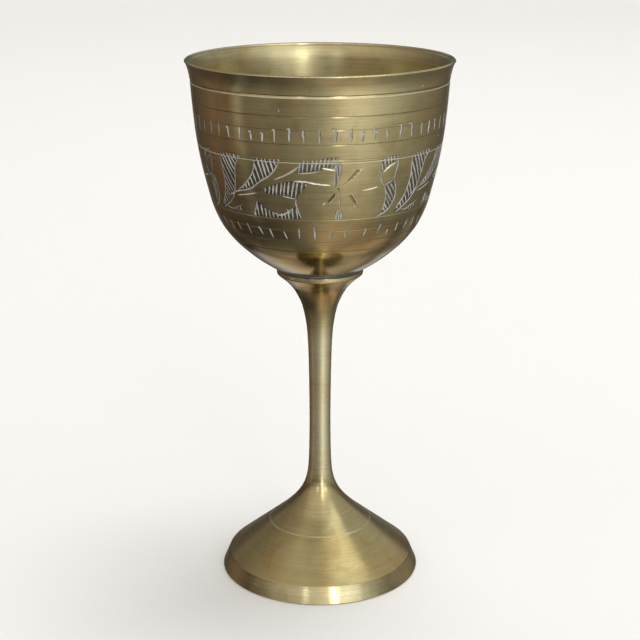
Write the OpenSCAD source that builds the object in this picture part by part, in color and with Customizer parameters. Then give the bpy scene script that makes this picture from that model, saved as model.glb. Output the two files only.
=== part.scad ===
// Stemmed drinking cup of cast and turned brass: a bowl, a solid spindle stem
// and a hollow conical foot, screwed and soldered together.
// The common axis is +Z and the foot stands on z = 0.

/* [Bowl] */
// Outer diameter of the bowl at the lip
rim_d = 70; // [66:0.5:74]
// Height of the bowl, from the seam with the stem up to the lip
bowl_h = 56; // [53:0.5:59]
// Thickness of the lip
lip_t = 1.1; // [0.9:0.1:1.4]
// Thickness of the cast base above the seam
base_t = 5; // [4.6:0.1:5.4]
// Radius of the flat seat under the bowl
seat_r = 10.9; // [10.6:0.1:11.2]
// Width of the turned groove below the plain lip band
groove_w = 0.8; // [0.5:0.1:1]
// Depth of that groove
groove_d = 0.25; // [0.1:0.05:0.3]
// Width of each scribed ring
scribe_w = 0.3; // [0.2:0.05:0.4]
// Depth of each scribed ring
scribe_d = 0.1; // [0.05:0.05:0.15]

/* [Stem] */
// Height of the seam between stem and bowl above the table
seam_z = 86.3; // [82:0.1:90]
// Diameter of the round flange under the bowl
flange_d = 23.2; // [23:0.1:23.8]
// Height of the flange's edge
flange_t = 1.2; // [0.9:0.1:1.5]
// Smallest diameter of the waist
waist_d = 5.8; // [5.2:0.1:6.4]

/* [Foot] */
// Diameter of the foot at the table
foot_d = 54.6; // [52:0.1:57]
// Diameter at the upper edge of the bevelled band
foot_band_d = 51; // [49:0.1:51.6]
// Height of the bevelled band
foot_band_h = 4.6; // [4:0.1:5]
// Height of the seam between stem and foot above the table
foot_seam_z = 13.8; // [13.2:0.1:14.4]
// Diameter of that seam
foot_seam_d = 28.1; // [27.5:0.1:28.7]
// Thickness of the foot's cone
foot_t = 2; // [1.8:0.1:2.2]

/* [Joints] */
// Outside diameter of the stud's thread
stud_d = 5; // [4.4:0.1:5.4]
// Pitch of the stud's thread
stud_pitch = 0.8; // [0.7:0.05:0.9]
// Length of the stud in the bowl's base
stud_up = 3.2; // [2.8:0.1:3.4]
// Length of the stud in the stem
stud_down = 8; // [6:0.5:9]
// Diameter of the stem's spigot in the foot
spigot_d = 18; // [16:0.5:20]
// Radial clearance of the stud and of the spigot
gap = 0.05; // [0.02:0.01:0.1]
// Height of the solder fillet on the bowl's underside
solder_h = 0.85; // [0.6:0.05:1]
// Width of the solder line round the foot
solder_w = 0.45; // [0.3:0.05:0.6]

/* [Hidden] */
$fn = 96;
R = rim_d / 2;

// Smooth curve through hand-set points, n steps from each to the next.
function mix4(a, b, c, d, t) =
    0.5 * (2 * b + (c - a) * t + (2 * a - 5 * b + 4 * c - d) * t * t + (3 * b - a - 3 * c + d) * t * t * t);
function curve(p, n) = let (m = len(p) - 1) concat(
    [for (i = [0:m - 1]) for (k = [0:n - 1])
        mix4(i > 0 ? p[i - 1] : 2 * p[0] - p[1], p[i], p[i + 1], i < m - 1 ? p[i + 2] : 2 * p[m] - p[m - 1], k / n)],
    [p[m]]);
function scaled(p, a, b) = [for (q = p) [q[0] * a, q[1] * b]];

// Bowl, [radius, height above the seam], drawn for a lip radius of 35 and a height of 56.
bowl_out_pts = concat([[seat_r, 0]], scaled(
    [[13, 1.2], [16.8, 3.7], [20, 6.3], [23, 9.2], [26, 13.2], [28.2, 18], [29.7, 23.4], [31.1, 29.4],
     [32.3, 36.3], [33.1, 43.9], [33.65, 50.8], [34.1, 53.4], [35, 56]], R / 35, bowl_h / 56));
bowl_in_pts = concat([[0, base_t], [5, base_t]], scaled(
    [[10, 5.5], [14, 6.8], [17.8, 8.8], [21, 11.3], [24.2, 15.1], [26.5, 19.6], [28.1, 24.6], [29.6, 30.4],
     [30.8, 37], [31.6, 44], [32.2, 50.8], [32.75, 53.6]], R / 35, bowl_h / 56), [[R - lip_t, bowl_h]]);
bowl_out = curve(bowl_out_pts, 4);
bowl_in = curve(bowl_in_pts, 4);
out_table = [for (p = bowl_out) [p[1], p[0]]];
function out_r(h) = lookup(h, out_table);

// Turned rings on the bowl: [distance below the lip, width, depth], lowest first.
rings = [
    [45.4, scribe_w, scribe_d], [42.5, scribe_w, scribe_d], [38.9, scribe_w, scribe_d],
    [36, scribe_w, scribe_d], [20.6, scribe_w, scribe_d], [16.9, scribe_w, scribe_d],
    [13.1, scribe_w, scribe_d], [10.1, scribe_w, scribe_d], [5.2, groove_w, groove_d]];
function ring_h(i) = bowl_h * (1 - rings[i][0] / 56);
function ring_pts(i) = let (h = ring_h(i), w = rings[i][1] / 2, d = rings[i][2])
    [[out_r(h - w), h - w], [out_r(h) - d, h], [out_r(h + w), h + w]];
function above(i) = i < 0 ? -1 : ring_h(i) + rings[i][1] / 2 + 0.05;
function below(i) = i >= len(rings) ? bowl_h - lip_t * 0.45 : ring_h(i) - rings[i][1] / 2 - 0.05;
bowl_wall = [for (i = [0:len(rings)]) each concat(
    [for (p = bowl_out) if (p[1] > above(i - 1) && p[1] < below(i)) p],
    i < len(rings) ? ring_pts(i) : [])];

// Half-round lip between the outer and the inner wall.
lip = [for (a = [0:30:180])
    [R - lip_t / 2 + lip_t / 2 * cos(a), bowl_h - lip_t * 0.45 + lip_t * 0.45 * sin(a)]];

// Stem, [radius, distance below the bowl seam].
stem_pts = concat(
    [[10.55, 2], [9.15, 3.2], [7.5, 5], [6, 7.5], [4.75, 10.5], [3.8, 15], [3.32, 20], [3.06, 28],
     [waist_d / 2, 40], [2.95, 49], [3.13, 55], [3.45, 58.5], [4.2, 61.5], [5.45, 64], [7.35, 66.5], [10.4, 69.5]]);
stem_len = seam_z - foot_seam_z;
stem_curve = curve(concat([[flange_d / 2 - 0.1, flange_t]], scaled(stem_pts, 1, stem_len / 72.5),
    [[foot_seam_d / 2, stem_len]]), 4);

// Foot cone: its slope, and the three corners of the solder line on it.
cone_dr = foot_band_d / 2 - foot_seam_d / 2;
cone_dz = foot_seam_z - foot_band_h;
cone_len = sqrt(cone_dr * cone_dr + cone_dz * cone_dz);
function on_cone(s) = [foot_seam_d / 2 + s * cone_dr / cone_len, foot_seam_z - s * cone_dz / cone_len];
seam_in = [foot_seam_d / 2 - 0.35, foot_seam_z];
seam_lo = on_cone(solder_w / 2);
seam_up = [foot_seam_d / 2 - solder_w * 0.35, foot_seam_z + solder_w * 0.3];
foot_plate_z = foot_seam_z - 2.5;
foot_in_dz = foot_t * cone_len / cone_dr;

module turned(pts) { rotate_extrude() polygon(pts); }

module bowl() color([0.62, 0.54, 0.28]) translate([0, 0, seam_z]) turned(concat(
    [[0, stud_up + 0.3], [stud_d / 2 + gap, stud_up + 0.3], [stud_d / 2 + gap, 0]],
    bowl_wall, lip,
    [for (i = [len(bowl_in) - 2:-1:0]) if (bowl_in[i][1] < bowl_h - lip_t * 0.5) bowl_in[i]]));

module bowl_solder() color([0.45, 0.46, 0.46]) translate([0, 0, seam_z]) turned(concat(
    [[flange_d / 2 - 0.15, 0]],
    [[out_r(solder_h), solder_h]],
    [for (i = [len(bowl_out) - 1:-1:0]) if (bowl_out[i][1] < solder_h - 0.02) bowl_out[i]]));

module bowl_stud() color([0.5, 0.5, 0.48]) translate([0, 0, seam_z]) let (
    r = stud_d / 2, root = stud_d / 2 - 0.55 * stud_pitch,
    turns = floor((stud_up + stud_down - 0.8) / stud_pitch), z0 = -stud_down + 0.4)
    turned(concat(
        [[0, -stud_down], [root, -stud_down], [root, z0]],
        [for (i = [0:turns - 1]) each
            [[r, z0 + (i + 0.4) * stud_pitch], [r, z0 + (i + 0.6) * stud_pitch], [root, z0 + (i + 1) * stud_pitch]]],
        [[root, stud_up], [0, stud_up]]));

module stem() color([0.6, 0.53, 0.28]) turned(concat(
    [[0, seam_z - stud_down - 0.4], [0, foot_plate_z - 0.3], [spigot_d / 2 - gap - 0.3, foot_plate_z - 0.3],
     [spigot_d / 2 - gap, foot_plate_z], [spigot_d / 2 - gap, foot_seam_z], seam_in, seam_up],
    [for (i = [len(stem_curve) - 2:-1:0]) if (seam_z - stem_curve[i][1] > seam_up[1] + 0.1)
        [stem_curve[i][0], seam_z - stem_curve[i][1]]],
    [[flange_d / 2, seam_z - flange_t + 0.1], [flange_d / 2, seam_z - 0.15], [flange_d / 2 - 0.15, seam_z],
     [stud_d / 2 + gap, seam_z], [stud_d / 2 + gap, seam_z - stud_down - 0.4]]));

module foot_solder() color([0.72, 0.7, 0.55]) turned([seam_in, seam_lo, seam_up]);

module foot() color([0.64, 0.56, 0.3]) let (
    zi = foot_seam_z - foot_in_dz, zb = foot_band_h - foot_in_dz)
    turned([
        [spigot_d / 2, foot_plate_z], [spigot_d / 2, foot_seam_z], seam_in, seam_lo,
        [foot_band_d / 2 - 0.1, foot_band_h + 0.08], [foot_band_d / 2 + 0.04, foot_band_h - 0.1],
        [foot_d / 2, 0.4], [foot_d / 2 - 0.12, 0.1], [foot_d / 2 - 0.4, 0],
        [foot_d / 2 - 2.1, 0], [foot_d / 2 - 2.5, 0.4],
        [foot_band_d / 2 - 0.9, zb + 0.6],
        [foot_seam_d / 2 + (zi - foot_plate_z + 0.4) * cone_dr / cone_dz + 0.5, foot_plate_z - 0.4],
        [foot_seam_d / 2 + (zi - foot_plate_z) * cone_dr / cone_dz - 0.4, foot_plate_z]]);

bowl();
bowl_solder();
bowl_stud();
stem();
foot_solder();
foot();
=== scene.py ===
import math
import random

import bpy
import numpy as np
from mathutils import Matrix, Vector, geometry


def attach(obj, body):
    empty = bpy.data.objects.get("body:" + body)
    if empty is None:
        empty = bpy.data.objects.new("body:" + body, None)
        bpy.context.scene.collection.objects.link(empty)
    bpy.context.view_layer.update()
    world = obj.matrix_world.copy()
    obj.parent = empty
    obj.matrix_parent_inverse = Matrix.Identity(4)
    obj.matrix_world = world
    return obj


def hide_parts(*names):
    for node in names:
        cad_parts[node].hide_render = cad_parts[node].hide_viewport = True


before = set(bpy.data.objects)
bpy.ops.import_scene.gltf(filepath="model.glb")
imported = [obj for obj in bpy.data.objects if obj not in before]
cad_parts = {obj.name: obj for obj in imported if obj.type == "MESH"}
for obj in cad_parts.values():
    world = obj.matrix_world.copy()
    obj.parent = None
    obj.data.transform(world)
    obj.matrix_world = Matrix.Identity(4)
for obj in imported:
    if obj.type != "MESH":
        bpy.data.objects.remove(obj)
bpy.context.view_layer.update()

rng = random.Random(41)
MM = 0.001
TWO_PI = 2 * math.pi

# ------------------------------------------------------------------ dimensions, mm (as in the CAD source)
R_LIP, BOWL_H, LIP_T, BASE_T, SEAT_R = 35.0, 56.0, 1.1, 5.0, 10.9
SEAM_Z, FLANGE_R, FLANGE_T = 86.3, 11.6, 1.2
FOOT_R, BAND_R, BAND_H, FSEAM_Z, FSEAM_R = 27.3, 25.5, 4.6, 13.8, 14.05
STUD_R, STUD_UP, STUD_DOWN, SPIGOT_R, GAP = 2.5, 3.2, 8.0, 9.0, 0.05
SOLDER_H, SOLDER_W = 0.85, 0.45
VIEW_TURN = 4.73          # degrees between the ornament's zero line and the side that faces -Y
U_REF = 31.0              # mm, radius at which the ornament's width is measured
JOIN = 140.8 - VIEW_TURN  # degrees, a gap between two repeats of the ornament, where the unrolled wall is closed
U_HI = math.radians(JOIN) * U_REF
U_LO = U_HI - TWO_PI * U_REF


def catmull(pts, n):
    p = np.array(pts, float)
    m = len(p) - 1
    out = []
    for i in range(m):
        a = p[i - 1] if i > 0 else 2 * p[0] - p[1]
        b, c = p[i], p[i + 1]
        d = p[i + 2] if i < m - 1 else 2 * p[m] - p[m - 1]
        for k in range(n):
            t = k / n
            out.append(0.5 * (2 * b + (c - a) * t + (2 * a - 5 * b + 4 * c - d) * t * t + (3 * b - a - 3 * c + d) * t ** 3))
    out.append(p[m])
    return np.array(out)


BOWL_OUT = catmull([[SEAT_R, 0], [13, 1.2], [16.8, 3.7], [20, 6.3], [23, 9.2], [26, 13.2], [28.2, 18], [29.7, 23.4],
                    [31.1, 29.4], [32.3, 36.3], [33.1, 43.9], [33.65, 50.8], [34.1, 53.4], [35, 56]], 16)
BOWL_IN = catmull([[0, BASE_T], [5, BASE_T], [10, 5.5], [14, 6.8], [17.8, 8.8], [21, 11.3], [24.2, 15.1], [26.5, 19.6],
                   [28.1, 24.6], [29.6, 30.4], [30.8, 37], [31.6, 44], [32.2, 50.8], [32.75, 53.6],
                   [R_LIP - LIP_T, BOWL_H]], 10)
STEM = catmull([[FLANGE_R - 0.1, FLANGE_T], [10.55, 2], [9.15, 3.2], [7.5, 5], [6, 7.5], [4.75, 10.5], [3.8, 15], [3.32, 20],
                [3.06, 28], [2.9, 40], [2.95, 49], [3.13, 55], [3.45, 58.5], [4.2, 61.5], [5.45, 64], [7.35, 66.5],
                [10.4, 69.5], [FSEAM_R, SEAM_Z - FSEAM_Z]], 8)


# ------------------------------------------------------------------ mesh helpers
def mesh_object(name, verts, faces, loop_normals=None, face_mats=None):
    me = bpy.data.meshes.new(name)
    me.from_pydata([tuple(v) for v in verts], [], faces)
    me.polygons.foreach_set("use_smooth", [True] * len(me.polygons))
    if face_mats is not None:
        me.polygons.foreach_set("material_index", [int(x) for x in face_mats])
    me.update()
    if loop_normals is not None:
        me.normals_split_custom_set([tuple(n) for n in loop_normals])
    ob = bpy.data.objects.new(name, me)
    bpy.context.scene.collection.objects.link(ob)
    return ob


def section_normals(p):
    """Outward normals of a profile section [radius, height] that runs with the metal on its left."""
    t = np.gradient(p, axis=0)
    t /= np.maximum(np.linalg.norm(t, axis=1), 1e-12)[:, None]
    return np.stack([t[:, 1], -t[:, 0]], 1)


def lathe(name, sections, seg=192, warp=None):
    """A closed turned piece. Sections follow each other round the profile; each is smooth, and the corners between them are sharp.
    The profile runs with the metal on its left, from the axis or round to its own start."""
    ring, verts, faces, normals = {}, [], [], []
    ang = np.arange(seg) * TWO_PI / seg

    def ring_of(r, z):
        key = (round(r, 5), round(z, 5))
        if key not in ring:
            if r < 1e-6:
                ring[key] = [len(verts)] * seg
                verts.append((0.0, 0.0, z * MM))
            else:
                ring[key] = list(range(len(verts), len(verts) + seg))
                for a in ang:
                    rr, zz = (r, z) if warp is None else warp(r, z, a)
                    verts.append((rr * math.cos(a) * MM, rr * math.sin(a) * MM, zz * MM))
        return ring[key]

    for sec in sections:
        p = np.array(sec, float)
        n = section_normals(p)
        for i in range(len(p) - 1):
            a, b = ring_of(*p[i]), ring_of(*p[i + 1])
            for k in range(seg):
                k2 = (k + 1) % seg
                c1, s1, c2, s2 = math.cos(ang[k]), math.sin(ang[k]), math.cos(ang[k2]), math.sin(ang[k2])
                corner = [(a[k], n[i], c1, s1), (a[k2], n[i], c2, s2), (b[k2], n[i + 1], c2, s2), (b[k], n[i + 1], c1, s1)]
                if p[i][0] < 1e-6:
                    corner = [corner[0], corner[2], corner[3]]
                elif p[i + 1][0] < 1e-6:
                    corner = [corner[0], corner[1], corner[2]]
                faces.append([c[0] for c in corner])
                normals += [(c[1][0] * c[2], c[1][0] * c[3], c[1][1]) for c in corner]
    return mesh_object(name, verts, faces, None if warp else normals)


# ------------------------------------------------------------------ the bowl's outer wall, unrolled
# Along the wall: s, the length down from the lip. Round the wall: u, the angle times U_REF.
lip_z = BOWL_H - LIP_T * 0.45
wall = BOWL_OUT[BOWL_OUT[:, 1] < lip_z - 0.02][::-1]
wall = np.vstack([[np.interp(lip_z, BOWL_OUT[:, 1], BOWL_OUT[:, 0]), lip_z], wall])
S = np.concatenate([[0], np.cumsum(np.linalg.norm(np.diff(wall, axis=0), axis=1))])
S_END = float(S[-1])
tang = np.gradient(wall, axis=0)
tang /= np.linalg.norm(tang, axis=1)[:, None]
WN = np.stack([-tang[:, 1], tang[:, 0]], 1)      # outward normal (radial, up)


def s_of_d(d):
    return np.interp(np.asarray(d, float), BOWL_H - wall[:, 1], S)


def uv(theta_deg, d):
    return np.stack([np.radians(np.asarray(theta_deg, float)) * U_REF, s_of_d(d)], -1)


# ------------------------------------------------------------------ ornament: cut strokes on the unrolled wall
# Material slots of the bowl.
BRASS, SILVERED, BRIGHT_CUT, SHADED_FLANK, STAIN_AND_SHADE, LIT_EDGE, INSIDE, GROUND_STAIN_AND_SHADE, OLIVE_CUT, CREAM_CUT, SHADE_CUT, POLISHED, SHADED_SIDE_CUT = range(13)
WHITE, BRIGHT, GOUGE, CREAM, SHADE, SHADED_SIDE = range(6)
# Each cut is a V. Bright cuts and gouges are tilted, as a leaning graver leaves them: a broad flank, and a steep one on
# the side given in STEEP. A bright cut's broad flank gets a lit copy of the cut metal and its steep flank a shaded one:
# painted highlight and painted shade.
# White cuts are even, with a strip of tarnish and painted shade along that side; gouges have a painted highlight along
# the edge there.
FLANKS = {WHITE: (SILVERED, SILVERED), BRIGHT: (BRIGHT_CUT, SHADED_FLANK), GOUGE: (OLIVE_CUT, OLIVE_CUT),
          CREAM: (CREAM_CUT, CREAM_CUT), SHADE: (SHADE_CUT, SHADE_CUT), SHADED_SIDE: (SHADED_SIDE_CUT, SHADED_SIDE_CUT)}
STRIP = {WHITE: STAIN_AND_SHADE, BRIGHT: BRASS, GOUGE: LIT_EDGE, CREAM: BRASS, SHADE: LIT_EDGE, SHADED_SIDE: STAIN_AND_SHADE}
STEEP = {WHITE: (0.75, -0.66), BRIGHT: (0.6, -0.8), GOUGE: (0.8, 0.6), CREAM: (0.75, -0.66), SHADE: (0.7, -0.7), SHADED_SIDE: (0.75, -0.66)}
TILT = {WHITE: 0.0, BRIGHT: 0.42, GOUGE: 0.55, CREAM: 0.0, SHADE: 0.5, SHADED_SIDE: 0.0}       # how far the deepest line lies towards the steep side, in half widths
BESIDE = {WHITE: 0.7, BRIGHT: 0.0, GOUGE: 0.3, CREAM: 0.0, SHADE: 0.45, SHADED_SIDE: 0.7}     # width of the strip beside the cut, in half widths
strokes = []      # (points in u, s; half widths; depth per half width; kind; steep side)
grounds = []      # outlines in u, s of the leaves whose ground is darkened: tarnish and painted shade between the cuts


def cut(pts, width=0.5, kind=WHITE, lead=0.3, tail=0.45, k=0.7, wobble=0.025, step=0.8, taper=(1.0, 1.0)):
    """One cut along points (degrees, mm below the lip): starts to a point, swells, and runs out to a point. taper: its width at
    the start and at the end."""
    p = uv([q[0] for q in pts], [q[1] for q in pts])
    fine = catmull(p, 6) if len(p) > 2 else np.linspace(p[0], p[1], 13)
    length = np.concatenate([[0], np.cumsum(np.linalg.norm(np.diff(fine, axis=0), axis=1))])
    n = max(5, int(round(length[-1] / step)) + 2)
    at = np.linspace(0, 1, n)
    at[1], at[-2] = min(at[1], 0.3 / length[-1]), max(at[-2], 1 - 0.3 / length[-1])
    lead, tail = min(lead, 1.2 / length[-1]), min(tail, 1.6 / length[-1])
    q = np.stack([np.interp(at * length[-1], length, fine[:, c]) for c in (0, 1)], 1)
    t = np.gradient(q, axis=0)
    t /= np.maximum(np.linalg.norm(t, axis=1), 1e-9)[:, None]
    nrm = np.stack([-t[:, 1], t[:, 0]], 1)
    q[1:-1] += nrm[1:-1] * np.array([[rng.uniform(-wobble, wobble)] for _ in range(len(q) - 2)])
    shape = np.minimum(1, np.minimum((at / lead) ** 0.55, ((1 - at) / tail) ** 0.55))
    w = 0.5 * width * shape * np.interp(at, [0, 1], taper) * np.array([rng.uniform(0.86, 1.14) for _ in range(len(q))])
    w[0] = w[-1] = 0
    steep = 1.0 if float((nrm @ np.array(STEEP[kind])).mean()) > 0 else -1.0
    strokes.append((q, w, k, kind, steep))


def inside_spans(poly, p0, direction):
    """Where the line p0 + t * direction lies inside a polygon: list of (t0, t1)."""
    ts = []
    m = len(poly)
    for i in range(m):
        a, b = poly[i], poly[(i + 1) % m]
        e = b - a
        den = direction[0] * e[1] - direction[1] * e[0]
        if abs(den) < 1e-12:
            continue
        w = a - p0
        t = (w[0] * e[1] - w[1] * e[0]) / den
        s = (w[0] * direction[1] - w[1] * direction[0]) / den
        if 0 <= s < 1:
            ts.append(t)
    ts.sort()
    return [(ts[i], ts[i + 1]) for i in range(0, len(ts) - 1, 2)]


def hatch(poly_td, lean, gap=1.0, width=0.46, kind=WHITE, place=None, bow=0.08):
    """Parallel cuts across a leaf. lean: degrees from upright, positive when the top leans left."""
    grounds.append(uv(*zip(*[place(*q) for q in poly_td])))
    poly = np.array([[math.radians(q[0]) * U_REF, q[1]] for q in poly_td])
    a = math.radians(lean)
    direction = np.array([math.sin(a), math.cos(a)])
    across = np.array([direction[1], -direction[0]])
    reach = poly @ across
    x = reach.min() + gap * 0.45
    while x < reach.max() - gap * 0.2:
        turn = math.radians(rng.uniform(-2.5, 2.5))
        dr = np.array([math.sin(a + turn), math.cos(a + turn)])
        mid = poly[np.argsort(np.abs(reach - x))[:2]].mean(0)
        p0 = across * x + direction * (mid @ direction)
        for t0, t1 in inside_spans(poly, p0, dr):
            if t1 - t0 < 0.55:
                continue
            t0 += rng.uniform(-0.14, 0.12)
            t1 += rng.uniform(-0.15, 0.18)
            b = rng.uniform(-bow, bow)
            pts = [p0 + dr * t0, p0 + dr * (t0 + t1) / 2 + across * b, p0 + dr * t1]
            cut([place(math.degrees(q[0] / U_REF), q[1]) for q in pts], width * rng.uniform(0.82, 1.12), kind, lead=0.2, taper=(1.12, 0.8))
        x += gap * rng.uniform(0.9, 1.1)


def motif(place, vary):
    """One repeat of the flower band, in degrees and mm below the lip."""
    def line(pts, width=0.44, kind=WHITE, **kw):
        cut([place(a + rng.uniform(-vary, vary), b + rng.uniform(-vary, vary) * 0.4) for a, b in pts], width, kind, **kw)

    # tall leaf that opens each repeat
    hatch([(-53, 35.6), (-51, 33.7), (-48.5, 32.2), (-46.7, 30.2), (-46, 28.3), (-45.8, 26), (-46, 24), (-46.5, 21.8),
           (-45.5, 20.6), (-39, 20.5), (-33, 20.7), (-35.5, 22.2), (-37.1, 24), (-37.8, 26.5), (-39, 29), (-40.5, 31),
           (-43, 32.6), (-46.5, 34)], 29, 1.12, place=place)
    line([(-32.6, 20.7), (-35.5, 22.3), (-37.1, 24.1), (-37.8, 26.6), (-39, 29.1), (-40.6, 31.1), (-43, 32.7), (-46.5, 34.1), (-52, 35.6)], 0.38)
    line([(-46.4, 21.4), (-46, 24), (-45.8, 26), (-46, 28.3), (-46.8, 30.2), (-48.6, 32.2), (-52.4, 34.6)], 0.34)
    line([(-48.6, 34.9), (-45, 35.3), (-41, 34.7), (-36.4, 33.8)], 0.34, tail=0.6)
    hatch([(-46.5, 35.3), (-41, 34.8), (-36.5, 34), (-38, 35.4), (-43, 36)], 8, 1.0, 0.34, place=place)
    # second leaf, leaning right
    hatch([(-38.5, 30), (-34, 28.7), (-31, 27.2), (-28, 25.4), (-26.2, 23.5), (-25.4, 21.6), (-24.8, 20.6), (-13, 20.5),
           (-15, 22.8), (-17, 24.2), (-19.5, 25.3), (-22.5, 26.2), (-25.5, 27.4), (-29, 28.7), (-33, 29.3)], 14, 1.14, 0.5, place=place)
    line([(-12.9, 20.6), (-15, 22.8), (-17, 24.2), (-19.5, 25.4), (-22.5, 26.3), (-25.5, 27.5), (-29, 28.8), (-33, 29.5), (-38.3, 30.2), (-41, 30.9), (-44.3, 31.7)], 0.34)
    line([(-25.4, 21.2), (-26.2, 23.5), (-28, 25.4), (-31, 27.2), (-34, 28.7), (-37, 29.6)], 0.3)
    # stalks
    line([(-38.3, 31.2), (-33, 30.7), (-29, 30.2), (-26, 29.8)], 0.34, CREAM, tail=0.6)
    line([(-16.3, 25.9), (-12, 24.9), (-9, 24), (-6, 22.9), (-4.6, 22.1)], 0.48, CREAM, lead=0.5, taper=(0.75, 1.1))
    line([(-7, 26), (-2, 26.05), (2, 26.5), (5, 26.7), (9.9, 27)], 0.46, BRIGHT, lead=0.3, tail=0.3)
    # leaf under the upper border
    hatch([(-5.3, 23.9), (-5, 22), (-3.5, 20.6), (5, 20.4), (7, 19.9), (13, 19.8), (12, 22.3), (8, 22.8), (4, 23.3), (0, 23.7)], -9, 0.96, 0.44, place=place)
    line([(-5.2, 24), (0, 23.8), (5, 23.3)], 0.32)
    line([(5.6, 22.6), (8.5, 22.85), (11.6, 23.25)], 0.48, BRIGHT, lead=0.2, tail=0.35)
    # small leaf
    hatch([(-22.2, 29), (-20.5, 28), (-17, 27.2), (-12, 26.3), (-7, 25.9), (-2, 25.9), (-1, 27), (-3.5, 28.6), (-5.2, 29.6),
           (-6, 30.4), (-9, 30.3), (-13, 29.9), (-17, 30), (-21, 29.7)], -11, 1.02, 0.46, place=place)
    line([(-13, 30), (-9, 30.45), (-6.2, 30.6)], 0.34)
    line([(-6.4, 30.6), (-6.8, 31.6), (-6.2, 33), (-5, 35), (-4.3, 36.1)], 0.34)
    # toothed crescent on the lower border
    hatch([(-29.8, 36.1), (-27.6, 33.2), (-26.6, 32), (-24.5, 32.8), (-22, 33.8), (-19, 34.4), (-16, 34.7), (-13, 34.6),
           (-10.5, 34), (-8.5, 33.2), (-7, 32.6), (-5.3, 34.5), (-4.2, 36.2)], 3, 1.12, 0.46, place=place)
    line([(-26.7, 32), (-27.8, 33.6), (-29.8, 36)], 0.34)
    line([(-18.5, 34.5), (-16.5, 35.1), (-13.5, 35), (-11, 34.3), (-8, 33)], 0.42)
    line([(-11.4, 33.4), (-9.6, 34.6)], 0.34)
    # flower: gouged petals, upright petal and hanging bud
    line([(22.3, 23.2), (20.2, 24.5), (18.2, 25.6), (16.4, 26.5)], 1.15, GOUGE, lead=0.06, tail=0.5, k=0.42, step=0.4, taper=(1.0, 0.7))
    line([(16.8, 26.35), (15.6, 26.8), (14.3, 27.2)], 0.36, GOUGE, k=0.4, step=0.4)
    line([(18.4, 29.5), (20.2, 30.75), (22.1, 32.3)], 0.75, SHADE, lead=0.3, tail=0.2, k=0.55, step=0.4)
    # light spot at the end of the lower right petal: painted highlight
    line([(20.9, 32.5), (21.9, 33.0)], 0.36, CREAM)
    line([(11.7, 29.1), (10.5, 30.1), (8.2, 31.65)], 0.8, SHADE, lead=0.3, tail=0.25, k=0.5, step=0.4)
    # light patch at the end of the lower left petal: painted reflection
    line([(7.4, 31.5), (6.6, 31.8), (5.9, 32.1)], 0.5, CREAM, k=0.3)
    line([(12.95, 27.5), (13.2, 28.0), (13.55, 28.7)], 0.55, SHADE, k=0.6, step=0.4)
    hatch([(11.3, 20.6), (14.0, 20.9), (13.5, 23.9), (12.6, 26.2), (11.9, 27.5), (11.1, 27.3), (11.4, 23.9)], 4, 0.6, 0.4, place=place)
    line([(11.3, 20.7), (11.4, 23.9), (11.1, 27.4)], 0.3)
    line([(14.0, 20.9), (13.5, 23.9), (12.6, 26.2)], 0.34)
    line([(24, 28.65), (27.7, 28.5), (32.1, 28.0)], 0.55, BRIGHT, lead=0.3, tail=0.12, taper=(0.55, 1.0))
    line([(13.4, 29.5), (14, 31.2), (13.9, 33.4)], 0.34)
    line([(12, 36.1), (12.7, 34.3), (13.6, 33.5), (14.8, 34.2), (15.7, 36)], 0.36)
    for a, b, c in ((12.6, 34.9, 36.2), (13.7, 34.2, 36.4), (14.8, 34.6, 36.2)):
        line([(a, b), (a + 0.1, c)], 0.42)
    # pair of upright leaves that closes the repeat
    hatch([(32.5, 22.8), (33.2, 21.1), (36, 20.4), (40.8, 20.4), (40.2, 22), (37, 23), (34.3, 24.4), (33.3, 24.3)], 14, 0.98, 0.42, place=place)
    line([(34.2, 24.5), (36.5, 23.3), (40.6, 22.1)], 0.5, BRIGHT)
    line([(40.8, 20.4), (41.9, 22.4), (41.3, 24.4), (40.6, 26.6)], 0.34)
    line([(33.2, 24.4), (33.4, 26), (34.8, 27.5), (36, 28.1)], 0.34)
    hatch([(36, 28), (38, 27.3), (40.5, 26.8), (42.2, 28.5), (42.8, 31), (42, 32.7), (40.2, 34.2), (37.5, 35.2), (34, 36),
           (36.3, 34.6), (37.2, 33), (37.4, 31.5), (37, 29.8)], 36, 0.96, 0.42, place=place)
    line([(40.6, 26.7), (42.3, 28.5), (42.9, 31), (42, 32.8), (40.2, 34.3), (37.5, 35.3), (33.4, 36.1)], 0.36)
    line([(36, 28), (37, 29.8), (37.4, 31.5), (37.2, 33), (36.3, 34.6)], 0.34)
    line([(36, 28), (38.2, 27.2), (40.5, 26.7)], 0.34)


# The front repeat, the next one to its right, and two more set a little closer to close the round.
START, REPEAT = -54.0, 97.0
for first, span, vary in ((-54.0, 97.0, 0.0), (43.0, 97.0, 0.3), (141.6, 82.0, 0.35), (223.6, 82.4, 0.35)):
    def place(a, d, first=first, span=span):
        return first - VIEW_TURN + (a - START) * span / REPEAT, d
    motif(place, vary)


def tick(a, top, low, lean, flag, width):
    """A short upright chisel mark; some have a small flag at the top or a spur at the side."""
    k = rng.uniform(-0.25, 0.25)
    h = low - top
    cut([(a + lean, top), (a + lean * 0.4 + k, top + h * 0.36), (a - k * 0.7, top + h * 0.66), (a - lean * 0.3, low)], width, WHITE, lead=0.16, tail=0.24)
    if flag == 1:
        cut([(a + lean - 1.3, top + 0.35), (a + lean - 0.5, top + 0.12), (a + lean + 0.25, top + 0.1)], 0.4, WHITE)
    elif flag == 2:
        cut([(a, top + h * 0.45), (a + 1.0, top + h * 0.38), (a + 1.8, top + h * 0.42)], 0.38, WHITE)
    elif flag == 3:
        cut([(a - 2.3, top + 0.3), (a - 1.1, top - 0.05), (a + 0.2, top + 0.15)], 0.42, WHITE)


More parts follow.
